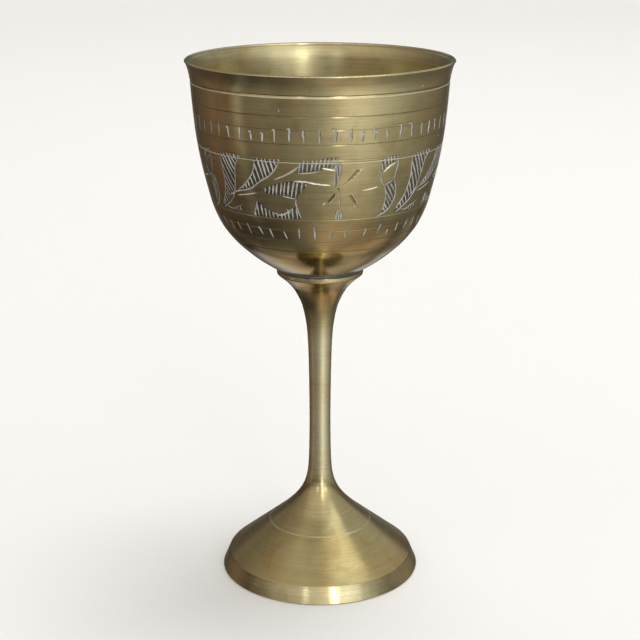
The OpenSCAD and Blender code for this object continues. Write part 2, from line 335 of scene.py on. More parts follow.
# upper row: the marks at the front, then the rest of the round
upper = [(-38.5, 13.6, 16.4, 1), (-32, 13.3, 16.4, 0), (-26, 14.0, 16.4, 1), (-20.5, 14.2, 16.6, 1), (-14.8, 13.2, 16.4, 1),
         (-8.3, 12.8, 16.2, 1), (-2.2, 13.1, 16.4, 0), (4.5, 13.0, 16.4, 0), (11.2, 12.7, 16.5, 1), (17.8, 12.9, 16.4, 0),
         (23, 12.9, 16.5, 2), (28.3, 12.7, 16.0, 2), (34.6, 13.4, 16.2, 0), (41.5, 12.7, 16.2, 1), (48, 12.8, 16.2, 3),
         (54.5, 13.1, 16.2, 0), (60, 13.0, 16.3, 0), (65.5, 13.0, 16.0, 1)]
seam_at = JOIN + VIEW_TURN     # the rows leave the join halfway between two marks
for start, stop, n in ((71.5, seam_at - 3.1, 12), (seam_at + 3.1, 360 - 38.5 - 6.2, 29)):
    for i in range(n):
        free = 0 < i < n - 1
        upper.append((start + (stop - start) * i / (n - 1) + rng.uniform(-0.35, 0.35) * free, 13.1 + rng.uniform(-0.4, 0.5),
                      16.35 + rng.uniform(-0.2, 0.15), rng.choice((0, 0, 1, 1, 2, 3)) * free))
for a, top, low, flag in upper:
    tick(a - VIEW_TURN, top, low, rng.uniform(-0.2, 0.2), flag, rng.uniform(0.43, 0.53))
# lower row: top and foot of each mark
lower = [(-29, 38.9, -27.2, 41.2), (-22.3, 39.1, -21, 41.9), (-14.3, 39.5, -13, 41.8), (-6, 38.5, -6.2, 41.6), (1.6, 38, 2.2, 42),
         (10.9, 38.9, 10, 41.6), (18, 38.7, 18, 41.4), (29.2, 38.9, 28.3, 41.1), (37.8, 38.2, 36.4, 41), (43.4, 40.1, 43, 41.6)]
for start, stop, n in ((49.5, seam_at - 3.6, 13), (seam_at + 3.6, 360 - 29 - 7, 26)):
    for i in range(n):
        a = start + (stop - start) * i / (n - 1) + rng.uniform(-0.5, 0.5) * (0 < i < n - 1)
        k = rng.uniform(-0.8, 0.8)
        lower.append((a + k, 38.8 + rng.uniform(-0.6, 0.5), a - k, 41.5 + rng.uniform(-0.35, 0.35)))
for a, top, b, low in lower:
    m = (a + b) / 2 + rng.uniform(-0.3, 0.3)
    cut([(a - VIEW_TURN, top), (m - VIEW_TURN, (top + low) / 2), (b - VIEW_TURN, low)], rng.uniform(0.4, 0.5), WHITE, lead=0.2, tail=0.3)

# a few nicks from use on the plain bands
for i in range(9):
    a, d = rng.choice((rng.uniform(-210, -50), rng.uniform(45, 125))), rng.choice((rng.uniform(1.8, 4.0), rng.uniform(6.4, 9.3), rng.uniform(17.7, 19.4)))
    if i == 0:
        a, d = -12.5, 8.6
    half, turn = rng.uniform(0.24, 0.42), rng.uniform(0.2, 2.9)
    da, dd = math.degrees(half * math.cos(turn) / U_REF), half * math.sin(turn)
    cut([(a - VIEW_TURN - da, d - dd), (a - VIEW_TURN + da, d + dd)], 0.21, CREAM, k=0.5)


def in_shaded_side(q):
    """Left of the front the silvery cuts get a darker, duller copy of their metal, painted shade for the side of the
    bowl away from the light: how far round depends on the row.
    """
    t, s = math.degrees(float(q[:, 0].mean()) / U_REF) + VIEW_TURN, float(q[:, 1].mean())
    edge = np.interp(s, s_of_d([17, 18, 24.5, 26, 36.5, 37.5]), [-42, -47, -47, -39.5, -39.5, -31])
    return -77 < t < edge


# bring every cut inside one turn
turned = []
for q, w, k, kind, steep in strokes:
    shift = math.floor((float(q[:, 0].mean()) - U_LO) / (TWO_PI * U_REF)) * TWO_PI * U_REF
    q = q - np.array([shift, 0])
    assert q[:, 0].min() - w.max() > U_LO + 0.02 and q[:, 0].max() + w.max() < U_HI - 0.02
    turned.append((q, w, k, SHADED_SIDE if kind == WHITE and in_shaded_side(q) else kind, steep))
strokes = turned
grounds = [g - np.array([math.floor((float(g[:, 0].mean()) - U_LO) / (TWO_PI * U_REF)) * TWO_PI * U_REF, 0]) for g in grounds]
assert all(g[:, 0].min() > U_LO + 0.02 and g[:, 0].max() < U_HI - 0.02 for g in grounds)

# turned rings: (start, deepest, end) in mm below the lip, depth, and the slots of the upper and lower flank. A darker
# upper flank is painted shade and a pale lower flank a painted highlight.
rings = [(4.8, 5.05, 5.6, 0.25, SHADED_FLANK, BRASS)]
LIT_FLANK_FROM = 5.36     # mm below the lip: from here down, the groove's lower flank is painted bright, a painted highlight
for d, wd, dp, up, dn in ((10.0, 0.32, 0.045, SHADE_CUT, BRASS), (13.25, 0.22, 0.03, BRASS, BRASS), (16.9, 0.34, 0.045, SHADE_CUT, BRASS),
                          (20.7, 0.34, 0.045, OLIVE_CUT, BRASS), (21.28, 0.4, 0.04, BRASS, LIT_EDGE), (36.2, 0.3, 0.045, SHADE_CUT, BRASS), (39.3, 0.22, 0.03, SHADE_CUT, BRASS),
                          (42.5, 0.34, 0.05, SHADE_CUT, BRASS), (45.5, 0.36, 0.06, SHADED_FLANK, BRASS)):
    rings.append((d - wd * 0.45, d - wd * 0.05, d + wd * 0.55, dp, up, dn))
ring_rows = [[float(s_of_d(x)) for x in r[:3]] for r in rings]


def ring_depth(v):
    """Depth of the turned rings at lengths down the wall, the material slot there, and the slope of the flank."""
    out = np.zeros(len(v))
    slot = np.zeros(len(v), int)
    tilt = np.zeros(len(v))
    for (s0, s1, s2), r in zip(ring_rows, rings):
        d = np.interp(v, [s0, s1, s2], [0, r[3], 0], left=0, right=0)
        on, above = d > 0, v < s1
        slot[on] = np.where(above[on], r[4], r[5])
        tilt[on] = np.where(above[on], r[3] / (s1 - s0), -r[3] / (s2 - s1))
        out = np.maximum(out, d)
    # the groove's lower flank is painted bright here: painted highlight
    slot[(v > s_of_d(LIT_FLANK_FROM)) & (v < ring_rows[0][2])] = LIT_EDGE
    return out, slot, tilt


def cut_depth(pts):
    """Depth of the cuts at points, the material slot of the deepest cut there, and the slot of the strip beside a cut."""
    depth = np.zeros(len(pts))
    slot = np.zeros(len(pts), int)
    strip = np.zeros(len(pts), int)
    order = np.argsort(pts[:, 0])
    xs = pts[order, 0]
    for q, w, k, kd, steep in strokes:
        m = w.max() * (1 + BESIDE[kd]) + 0.01
        lo, hi = np.searchsorted(xs, q[:, 0].min() - m), np.searchsorted(xs, q[:, 0].max() + m)
        if hi <= lo:
            continue
        idx = order[lo:hi]
        p = pts[idx]
        keep = (p[:, 1] > q[:, 1].min() - m) & (p[:, 1] < q[:, 1].max() + m)
        idx, p = idx[keep], p[keep]
        if not len(idx):
            continue
        best = np.zeros(len(idx))
        narrow = np.zeros(len(idx), bool)
        for i in range(len(q) - 1):
            e = q[i + 1] - q[i]
            t = np.clip(((p - q[i]) @ e) / max(e @ e, 1e-12), 0, 1)
            off = p - q[i] - t[:, None] * e
            half = w[i] + (w[i + 1] - w[i]) * t
            over = np.copysign(np.linalg.norm(off, axis=1), (off @ np.array([-e[1], e[0]])) * steep)
            here = np.minimum((half + over) / (1 + TILT[kd]), (half - over) / (1 - TILT[kd])) * k
            won = here > best
            best[won] = here[won]
            narrow[won] = (over > TILT[kd] * half)[won]
            strip[idx[(over >= half) & (over < half * (1 + BESIDE[kd])) & (half > 0.03)]] = STRIP[kd]
        better = best > depth[idx]
        depth[idx[better]] = best[better]
        slot[idx[better]] = np.where(narrow[better], FLANKS[kd][1], FLANKS[kd][0])
    return depth, slot, strip


def in_leaf(pts):
    """Which points lie on the darkened ground of a leaf: tarnish and painted shade between the cuts."""
    out = np.zeros(len(pts), bool)
    for g in grounds:
        idx = np.nonzero((pts[:, 0] > g[:, 0].min()) & (pts[:, 0] < g[:, 0].max()) & (pts[:, 1] > g[:, 1].min()) & (pts[:, 1] < g[:, 1].max()))[0]
        x, y = pts[idx, 0], pts[idx, 1]
        odd = np.zeros(len(idx), bool)
        for (x0, y0), (x1, y1) in zip(g, np.roll(g, -1, axis=0)):
            if y0 != y1:
                odd ^= ((y0 > y) != (y1 > y)) & (x < x0 + (x1 - x0) * (y - y0) / (y1 - y0))
        out[idx] |= odd
    return out


def build_bowl():
    cols = 192
    us = np.linspace(U_LO, U_HI, cols + 1)
    # rows of the plain wall, leaving out what is close to a turned ring
    rows = [0.0]
    while rows[-1] < S_END - 0.9:
        rows.append(rows[-1] + 1.25)
    rows = [r for r in rows if not any(s0 - 0.25 < r < s2 + 0.25 for s0, _, s2 in ring_rows)]
    rows = [r for r in rows if S_END - r > 0.5] + [S_END]
    verts, edges = [], []
    # cuts
    for q, w, k, kind, steep in strokes:
        t = np.gradient(q, axis=0)
        t /= np.maximum(np.linalg.norm(t, axis=1), 1e-9)[:, None]
        nrm = np.stack([-t[:, 1], t[:, 0]], 1)
        lines = [1.0, TILT[kind] * steep, -1.0] + ([(1 + BESIDE[kind]) * steep] if BESIDE[kind] else [])
        prev = [len(verts)] * len(lines)
        verts.append(tuple(q[0]))
        for i in range(1, len(q) - 1):
            here = list(range(len(verts), len(verts) + len(lines)))
            verts += [tuple(q[i] + nrm[i] * w[i] * x) for x in lines]
            edges += list(zip(prev, here))
            prev = here
        verts.append(tuple(q[-1]))
        edges += [(x, len(verts) - 1) for x in prev]
    # leaves
    for g in grounds:
        b = len(verts)
        verts += [tuple(x) for x in g]
        edges += [(b + i, b + (i + 1) % len(g)) for i in range(len(g))]
    # turned rings
    for s in sum(ring_rows, [float(s_of_d(LIT_FLANK_FROM))]):
        b = len(verts)
        verts += [(u, s) for u in us]
        edges += [(b + i, b + i + 1) for i in range(cols)]
    # plain wall
    grid = np.array([(u, r) for r in rows for u in us])
    border = (grid[:, 1] <= 1e-9) | (grid[:, 1] >= S_END - 1e-9) | (grid[:, 0] < U_LO + 1e-9) | (grid[:, 0] > U_HI - 1e-9)
    near = np.zeros(len(grid), bool)
    order = np.argsort(grid[:, 0])
    xs = grid[order, 0]
    for q, w, k, kind, steep in strokes:
        m = w.max() * (1 + BESIDE[kind]) + 0.2
        lo, hi = np.searchsorted(xs, q[:, 0].min() - m), np.searchsorted(xs, q[:, 0].max() + m)
        idx = order[lo:hi]
        p = grid[idx]
        for i in range(len(q) - 1):
            e = q[i + 1] - q[i]
            t = np.clip(((p - q[i]) @ e) / max(e @ e, 1e-12), 0, 1)
            near[idx] |= np.linalg.norm(p - q[i] - t[:, None] * e, axis=1) < m
    grid = grid[border | ~near]
    base = len(verts)
    verts += [tuple(g) for g in grid]
    for s in (0.0, S_END):
        row = [base + i for i in range(len(grid)) if abs(grid[i, 1] - s) < 1e-9]
        row.sort(key=lambda i: verts[i][0])
        edges += list(zip(row[:-1], row[1:]))
    side = {}
    for i, v in enumerate(verts):
        if v[0] < U_LO + 1e-9 or v[0] > U_HI - 1e-9:
            side.setdefault(v[0] > U_LO + 1, []).append(i)
    for s in side.values():
        s.sort(key=lambda i: verts[i][1])
        edges += list(zip(s[:-1], s[1:]))
    out_v, _, out_f, _, _, _ = geometry.delaunay_2d_cdt([Vector(v) for v in verts], edges, [], 0, 1e-5, False)
    p = np.array([(v.x, v.y) for v in out_v])
    tri = np.array([f[:] for f in out_f])
    a, b, c = p[tri[:, 0]], p[tri[:, 1]], p[tri[:, 2]]
    area = (b[:, 0] - a[:, 0]) * (c[:, 1] - a[:, 1]) - (b[:, 1] - a[:, 1]) * (c[:, 0] - a[:, 0])
    tri[area > 0] = tri[area > 0][:, [0, 2, 1]]
    # close the join
    left = {round(p[i, 1], 3): i for i in range(len(p)) if p[i, 0] < U_LO + 1e-4}
    weld = np.arange(len(p))
    for i in range(len(p)):
        if p[i, 0] > U_HI - 1e-4:
            weld[i] = left[round(p[i, 1], 3)]
    depth, _, _ = cut_depth(p)
    rdepth, _, _ = ring_depth(p[:, 1])
    edge = (p[:, 1] < 1e-4) | (p[:, 1] > S_END - 1e-4)
    total = np.where(edge, 0, np.maximum(depth, rdepth))
    centre = p[tri].mean(1)
    fd, fslot, fstrip = cut_depth(centre)
    fr, rslot, rtilt = ring_depth(centre[:, 1])
    cutface = (np.maximum(fd, fr) > 0.004) & (total[tri].max(1) > 0.006)
    ringface = cutface & (fr > fd)
    # strips beside white cuts and leaf grounds are tarnish and painted shade; strips beside gouges are painted
    # highlight
    fmat = np.where(cutface, np.where(ringface, rslot, fslot), np.where(fstrip > 0, fstrip, np.where(in_leaf(centre), GROUND_STAIN_AND_SHADE, BRASS)))
    fmat[(fmat == BRASS) & ~cutface & (centre[:, 1] > ring_rows[-1][2])] = POLISHED
    # to space
    r, h = np.interp(p[:, 1], S, wall[:, 0]), np.interp(p[:, 1], S, wall[:, 1])
    nr, nh = np.interp(p[:, 1], S, WN[:, 0]), np.interp(p[:, 1], S, WN[:, 1])
    ln = np.hypot(nr, nh)
    nr, nh = nr / ln, nh / ln
    th = p[:, 0] / U_REF
    rr, hh = r - nr * total, h - nh * total
    co = np.stack([rr * np.sin(th), -rr * np.cos(th), hh + SEAM_Z], 1)
    nn = np.stack([nr * np.sin(th), -nr * np.cos(th), nh], 1)
    down = np.stack([nh * np.sin(th), -nh * np.cos(th), -nr], 1)      # along the wall, away from the lip
    tri = weld[tri]
    fn = np.cross(co[tri[:, 1]] - co[tri[:, 0]], co[tri[:, 2]] - co[tri[:, 0]])
    if (fn * nn[tri[:, 0]]).sum(1).mean() < 0:
        tri = tri[:, [0, 2, 1]]
        fn = -fn
    fn /= np.maximum(np.linalg.norm(fn, axis=1), 1e-15)[:, None]
    # drop the unused copies of the join's points
    used = np.unique(tri)
    renum = np.full(len(p), -1)
    renum[used] = np.arange(len(used))
    co, nn, down, pu = co[used], nn[used], down[used], p[used]
    tri = renum[tri]
    verts3, faces, normals, mats = [tuple(x) for x in co], [], [], []
    for i, f in enumerate(tri):
        faces.append([int(x) for x in f])
        mats.append(int(fmat[i]))
        for x in f:
            if ringface[i]:
                n = nn[x] + down[x] * rtilt[i]
                normals.append(tuple(n / np.linalg.norm(n)))
            else:
                normals.append(tuple(fn[i]) if cutface[i] else tuple(nn[x]))

    # lip, inside and seat: plain turned strips that share the wall's first and last row
    def border_row(s):
        return sorted((i for i in range(len(pu)) if abs(pu[i, 1] - s) < 1e-4), key=lambda i: pu[i, 0])
    top, bottom = border_row(0.0), border_row(S_END)
    ang = [pu[i, 0] / U_REF for i in top]
    assert len(top) == cols and len(bottom) == cols

    def strip(start, sections, slot, over=False):
        ringids = start
        for sec in sections:
            sec = np.array(sec, float)
            n = section_normals(sec) * (-1 if over else 1)
            for i in range(len(sec) - 1):
                if sec[i + 1][0] < 1e-6:
                    verts3.append((0.0, 0.0, sec[i + 1][1] + SEAM_Z))
                    nxt = [len(verts3) - 1] * cols
                else:
                    nxt = list(range(len(verts3), len(verts3) + cols))
                    for t in ang:
                        verts3.append((sec[i + 1][0] * math.sin(t), -sec[i + 1][0] * math.cos(t), sec[i + 1][1] + SEAM_Z))
                for k in range(cols):
                    k2 = (k + 1) % cols
                    t1, t2 = ang[k], ang[k2]
                    quad = [(ringids[k], n[i], t1), (ringids[k2], n[i], t2), (nxt[k2], n[i + 1], t2), (nxt[k], n[i + 1], t1)]
                    if sec[i + 1][0] < 1e-6:
                        quad = quad[:3]
                    if over:
                        quad = quad[::-1]
                    faces.append([x[0] for x in quad])
                    mats.append(slot)
                    for _, nv, t in quad:
                        normals.append((nv[0] * math.sin(t), -nv[0] * math.cos(t), nv[1]))
                ringids = nxt
        return ringids

    lip = [(wall[0][0], lip_z)] + [(R_LIP - LIP_T / 2 + LIP_T / 2 * math.cos(x), lip_z + LIP_T * 0.45 * math.sin(x))
                                   for x in np.linspace(0.12, math.pi, 14)]
    inner = [tuple(q) for q in BOWL_IN[::-1] if q[1] < lip_z - 0.05]
    last = strip(top, [lip], BRASS)
    strip(last, [[lip[-1]] + inner], INSIDE)
    bore = STUD_R + GAP
    strip(bottom, [[(SEAT_R, 0), (bore, 0)], [(bore, 0), (bore, STUD_UP + 0.3)], [(bore, STUD_UP + 0.3), (0, STUD_UP + 0.3)]], BRASS, True)
    verts3 = [(x * MM, y * MM, z * MM) for x, y, z in verts3]
    print("bowl mesh:", len(verts3), "vertices", len(faces), "faces", len(strokes), "cuts")
    return mesh_object("bowl_chased", verts3, faces, normals, mats)


bowl = build_bowl()

# ------------------------------------------------------------------ stem, foot and solder
stem_side = [(r, SEAM_Z - d) for r, d in STEM[::-1] if SEAM_Z - d > FSEAM_Z + SOLDER_W * 0.3 + 0.05]
seam_up = (FSEAM_R - SOLDER_W * 0.35, FSEAM_Z + SOLDER_W * 0.3)
seam_in = (FSEAM_R - 0.35, FSEAM_Z)
cone_dr, cone_dz = BAND_R - FSEAM_R, FSEAM_Z - BAND_H
cone_len = math.hypot(cone_dr, cone_dz)
seam_lo = (FSEAM_R + SOLDER_W / 2 * cone_dr / cone_len, FSEAM_Z - SOLDER_W / 2 * cone_dz / cone_len)
plate_z = FSEAM_Z - 2.5
in_dz = 2.0 * cone_len / cone_dr


def arc(cx, cz, rad, a0, a1, n=5):
    return [(cx + rad * math.cos(math.radians(a0 + (a1 - a0) * i / n)), cz + rad * math.sin(math.radians(a0 + (a1 - a0) * i / n))) for i in range(n + 1)]


flange_edge = arc(FLANGE_R - 0.22, SEAM_Z - FLANGE_T + 0.34, 0.22, -50, 0) + arc(FLANGE_R - 0.22, SEAM_Z - 0.22, 0.22, 0, 90)
sp = SPIGOT_R - GAP
bs = STUD_R + GAP
stem = lathe("stem_turned", [
    [(0, plate_z - 0.3), (sp * 0.5, plate_z - 0.3), (sp - 0.3, plate_z - 0.3)],
    [(sp - 0.3, plate_z - 0.3), (sp, plate_z)],
    [(sp, plate_z), (sp, FSEAM_Z)],
    [(sp, FSEAM_Z), seam_in],
    [seam_in, seam_up],
    [seam_up] + stem_side + flange_edge,
    [flange_edge[-1], (bs, SEAM_Z)],
    [(bs, SEAM_Z), (bs, SEAM_Z - STUD_DOWN - 0.4)],
    [(bs, SEAM_Z - STUD_DOWN - 0.4), (0, SEAM_Z - STUD_DOWN - 0.4)]])

zi, zb = FSEAM_Z - in_dz, BAND_H - in_dz
foot = lathe("foot_turned", [
    [(SPIGOT_R, FSEAM_Z), (SPIGOT_R, plate_z)],
    [(SPIGOT_R, plate_z), (FSEAM_R + (zi - plate_z) * cone_dr / cone_dz - 0.4, plate_z)],
    [(FSEAM_R + (zi - plate_z) * cone_dr / cone_dz - 0.4, plate_z), (FSEAM_R + (zi - plate_z + 0.4) * cone_dr / cone_dz + 0.5, plate_z - 0.4)],
    [(FSEAM_R + (zi - plate_z + 0.4) * cone_dr / cone_dz + 0.5, plate_z - 0.4), (20.0, 6.58), (BAND_R - 0.9, zb + 0.6)],
    [(BAND_R - 0.9, zb + 0.6), (FOOT_R - 2.5, 0.4)],
    [(FOOT_R - 2.5, 0.4), (FOOT_R - 2.1, 0.0)],
    [(FOOT_R - 2.1, 0.0), (FOOT_R - 0.4, 0.0)],
    arc(FOOT_R - 0.4, 0.4, 0.4, -90, 0, 6),
    [(FOOT_R, 0.4), (BAND_R + 0.95, 2.4), (BAND_R + 0.04, BAND_H - 0.1)],
    [(BAND_R + 0.04, BAND_H - 0.1), (BAND_R - 0.1, BAND_H + 0.08)],
    [(BAND_R - 0.1, BAND_H + 0.08), (20.0, FSEAM_Z - (20.0 - FSEAM_R) * cone_dz / cone_dr), seam_lo],
    [seam_lo, seam_in],
    [seam_in, (SPIGOT_R, FSEAM_Z)]])

foot_line = lathe("foot_seam_line", [[seam_in, seam_lo], [seam_lo, seam_up], [seam_up, seam_in]])

s_top = (float(np.interp(SOLDER_H, BOWL_OUT[:, 1], BOWL_OUT[:, 0])), SEAM_Z + SOLDER_H)
under = [(q[0], q[1] + SEAM_Z) for q in BOWL_OUT if q[1] < SOLDER_H - 0.02]
b0 = (FLANGE_R - 0.2, SEAM_Z)


def bead(r, z, a):
    """Solder runs a little unevenly round the seam."""
    if b0[1] + 0.02 < z < s_top[1] - 0.02 and r > FLANGE_R - 0.1:
        wob = 0.04 * math.sin(5 * a + 1) + 0.03 * math.sin(11 * a + 2.2) + 0.025 * math.sin(23 * a + 0.7)
        return r + wob, z + 0.5 * wob
    return r, z


solder = lathe("bowl_solder_bead", [
    [under[0], b0],
    [b0, (11.66, SEAM_Z + 0.1), (11.86, SEAM_Z + 0.24)],
    [(11.86, SEAM_Z + 0.24), (11.84, SEAM_Z + 0.34)],
    [(11.84, SEAM_Z + 0.34), (12.05, SEAM_Z + 0.42), (12.24, SEAM_Z + 0.6), s_top],
    [s_top] + under[::-1]], warp=bead)


# ------------------------------------------------------------------ materials
def nodes_of(name):
    m = bpy.data.materials.new(name)
    m.use_nodes = True
    nt = m.node_tree
    bsdf = nt.nodes["Principled BSDF"]
    return m, nt, bsdf


class Net:
    """Short names for building a node tree."""

    def __init__(self, nt):
        self.nt = nt

    def new(self, kind, **props):
        n = self.nt.nodes.new(kind)
        for k, v in props.items():
            setattr(n, k, v)
        return n

    def link(self, a, b):
        self.nt.links.new(a, b)

    def math(self, op, a, b=None, c=None, clamp=False):
        n = self.new("ShaderNodeMath", operation=op, use_clamp=clamp)
        for i, x in enumerate((a, b, c)):
            if x is None:
                continue
            if isinstance(x, (int, float)):
                n.inputs[i].default_value = x
            else:
                self.link(x, n.inputs[i])
        return n.outputs[0]

    def noise(self, vec, scale, detail=3.0, rough=0.5, distortion=0.0):
        n = self.new("ShaderNodeTexNoise")
        n.inputs["Scale"].default_value = scale
        n.inputs["Detail"].default_value = detail
        n.inputs["Roughness"].default_value = rough
        n.inputs["Distortion"].default_value = distortion
        self.link(vec, n.inputs["Vector"])
        return n.outputs["Fac"]

    def ramp(self, fac, stops, smooth=False):
        n = self.new("ShaderNodeValToRGB")
        el = n.color_ramp.elements
        if smooth:
            n.color_ramp.interpolation = "EASE"
        while len(el) < len(stops):
            el.new(0.5)
        for e, (p, c) in zip(el, stops):
            e.position = p
            e.color = (*c, 1) if isinstance(c, tuple) else (c, c, c, 1)
        self.link(fac, n.inputs["Fac"])
        return n.outputs["Color"]

    def remap(self, x, a, b, c, d, clamp=True, smooth=False):
        n = self.new("ShaderNodeMapRange", clamp=clamp)
        if smooth:
            n.interpolation_type = "SMOOTHSTEP"
        self.link(x, n.inputs[0])
        for i, v in zip((1, 2, 3, 4), (a, b, c, d)):
            n.inputs[i].default_value = v
        return n.outputs[0]

    def mix(self, fac, a, b, blend="MIX"):
        n = self.new("ShaderNodeMix", data_type="RGBA", blend_type=blend)
        for sock, x in ((n.inputs[0], fac), (n.inputs[6], a), (n.inputs[7], b)):
            if isinstance(x, (int, float)):
                sock.default_value = x
            elif isinstance(x, tuple):
                sock.default_value = (*x, 1)
            else:
                self.link(x, sock)
        return n.outputs[2]

    def band(self, x, lo, hi, soft):
        """1 between lo and hi, fading over soft on both sides."""
        return self.math("MULTIPLY", self.remap(x, lo - soft, lo, 0, 1), self.remap(x, hi, hi + soft, 1, 0))

    def coords(self):
        """Object position in mm, its distance from the axis, its height, and a vector that is constant round the axis."""
        tc = self.new("ShaderNodeTexCoord")
        mm = self.new("ShaderNodeVectorMath", operation="SCALE")
        mm.inputs["Scale"].default_value = 1000.0
        self.link(tc.outputs["Object"], mm.inputs[0])
        sep = self.new("ShaderNodeSeparateXYZ")
        self.link(mm.outputs[0], sep.inputs[0])
        x, y, z = sep.outputs
        r = self.math("SQRT", self.math("ADD", self.math("MULTIPLY", x, x), self.math("MULTIPLY", y, y)))
        comb = self.new("ShaderNodeCombineXYZ")
        self.link(r, comb.inputs[0])
        self.link(z, comb.inputs[1])
        # a slow drift round the axis, so that turning lines come and go
        self.link(self.math("MULTIPLY", self.math("ADD", x, self.math("MULTIPLY", y, 0.7)), 0.02), comb.inputs[2])
        return mm.outputs[0], r, z, comb.outputs[0]


def brass(name, gold, olive, brown, rough=0.19, aniso=0.7, patina=0.2, lines=0.5, worn=(), leaded=(), pale=()):
    """Turned, lacquer-free brass. worn and leaded: bands (lowest z, highest z, fade) that are rubbed bright or smeared
    with solder.
    pale: bands (lowest z, highest z, fade, amount, change of roughness) painted to a paler tone, a painted sheen that
    stands in for broad highlights."""
    m, nt, bsdf = nodes_of(name)
    t = Net(nt)
    pos, r, z, turned_vec = t.coords()
    big = t.noise(pos, 0.05, 4.0, 0.55, 0.4)
    mid = t.noise(pos, 0.22, 5.0, 0.6)
    fine = t.noise(pos, 1.4, 4.0, 0.6)
    turn1 = t.noise(turned_vec, 1.1, 6.0, 0.72)
    turn2 = t.noise(turned_vec, 5.5, 3.0, 0.6)
    tone = t.math("ADD", t.math("MULTIPLY", big, 0.45), t.math("ADD", t.math("MULTIPLY", mid, 0.2), t.math("MULTIPLY", turn1, 0.35)))
    base = t.ramp(tone, [(0.34, brown), (0.46, olive), (0.6, gold)])
    # small brown spots of tarnish
    spots = t.remap(t.noise(pos, 0.5, 6.0, 0.7, 0.6), 0.62, 0.74, 0.0, patina)
    base = t.mix(spots, base, tuple(c * 0.5 for c in brown))
    # duller and redder patches from handling
    dull = t.remap(t.noise(pos, 0.11, 3.0, 0.55, 0.8), 0.5, 0.68, 0.0, 1.0, smooth=True)
    base = t.mix(t.math("MULTIPLY", dull, 0.8), base, t.mix(1.0, base, (0.87, 0.85, 0.82), "MULTIPLY"))
    warm = t.remap(t.noise(pos, 0.07, 3.0, 0.5, 0.5), 0.48, 0.66, 0.0, 0.6, smooth=True)
    base = t.mix(warm, base, t.mix(1.0, base, (1.07, 0.92, 0.83), "MULTIPLY"))
    # darker and lighter turning lines
    base = t.mix(1.0, base, t.ramp(turn2, [(0.3, 0.86), (0.5, 0.98), (0.7, 1.06)]), "MULTIPLY")
    rr = t.math("ADD", t.remap(mid, 0.3, 0.7, rough - 0.04, rough + 0.05), t.math("MULTIPLY", spots, 0.3))
    rr = t.math("ADD", rr, t.remap(turn1, 0.3, 0.7, -0.035, 0.045))
    rr = t.math("ADD", rr, t.remap(fine, 0.3, 0.7, -0.02, 0.03))
    rr = t.math("ADD", rr, t.math("MULTIPLY", dull, 0.04))
    ragged = t.math("ADD", z, t.math("MULTIPLY", t.math("SUBTRACT", t.noise(pos, 0.8, 4.0, 0.65), 0.5), 1.7))
    for lo, hi, soft in leaded:
        f = t.band(ragged, lo, hi, soft)
        grey = t.ramp(t.noise(turned_vec, 2.6, 3.0, 0.6), [(0.36, (0.1, 0.1, 0.105)), (0.5, (0.25, 0.255, 0.265)), (0.64, (0.36, 0.365, 0.38))])
        base = t.mix(t.math("MULTIPLY", f, 0.88), base, grey)
        rr = t.math("ADD", rr, t.math("MULTIPLY", f, 0.1))
    for lo, hi, soft in worn:
        f = t.math("MULTIPLY", t.band(z, lo, hi, soft), t.remap(fine, 0.32, 0.62, 0.35, 0.95))
        base = t.mix(f, base, tuple(min(1.0, c * 1.3 + 0.03) for c in gold))
        rr = t.math("SUBTRACT", rr, t.math("MULTIPLY", f, 0.06))
    for lo, hi, soft, amount, duller in pale:
        f = t.band(z, lo, hi, soft)
        base = t.mix(t.math("MULTIPLY", f, amount), base, t.mix(1.0, base, (1.36, 1.5, 1.95), "MULTIPLY"))
        rr = t.math("ADD", rr, t.math("MULTIPLY", f, duller))
    bsdf.inputs["Anisotropic"].default_value = aniso
    t.link(base, bsdf.inputs["Base Color"])
    bsdf.inputs["Metallic"].default_value = 1.0
    t.link(t.math("MAXIMUM", rr, 0.06), bsdf.inputs["Roughness"])
    bsdf.inputs["Anisotropic Rotation"].default_value = 0.25
    tangent = t.new("ShaderNodeTangent", direction_type="RADIAL", axis="Z")
    t.link(tangent.outputs[0], bsdf.inputs["Tangent"])
    bump = t.new("ShaderNodeBump")
    bump.inputs["Strength"].default_value = lines
    bump.inputs["Distance"].default_value = 0.00004
    height = t.math("ADD", t.math("MULTIPLY", turn1, 0.7), t.math("ADD", t.math("MULTIPLY", turn2, 0.3), t.math("MULTIPLY", mid, 0.12)))
    t.link(height, bump.inputs["Height"])
    t.link(bump.outputs[0], bsdf.inputs["Normal"])
    return m


def cut_metal(name, light, dark, metal, rough, bump_by=0.35):
    """Metal laid bare or darkened by a tool, or a lit or shaded copy of it that stands for painted highlight or painted
    shade: patchy colour and a fine drag texture.
    """
    m, nt, bsdf = nodes_of(name)
    t = Net(nt)
    pos, r, z, turned_vec = t.coords()
    n1 = t.noise(pos, 0.35, 3.0)
    n2 = t.noise(pos, 3.0, 4.0, 0.65)
    f = t.math("ADD", t.math("MULTIPLY", n1, 0.5), t.math("MULTIPLY", n2, 0.5))
    t.link(t.ramp(f, [(0.36, dark), (0.58, light)]), bsdf.inputs["Base Color"])
    bsdf.inputs["Metallic"].default_value = metal
    t.link(t.remap(n2, 0.3, 0.7, rough - 0.08, rough + 0.1), bsdf.inputs["Roughness"])
    bump = t.new("ShaderNodeBump")
    bump.inputs["Strength"].default_value = bump_by
    bump.inputs["Distance"].default_value = 0.00005
    t.link(t.noise(pos, 6.0, 3.0, 0.6), bump.inputs["Height"])
    t.link(bump.outputs[0], bsdf.inputs["Normal"])
    return m


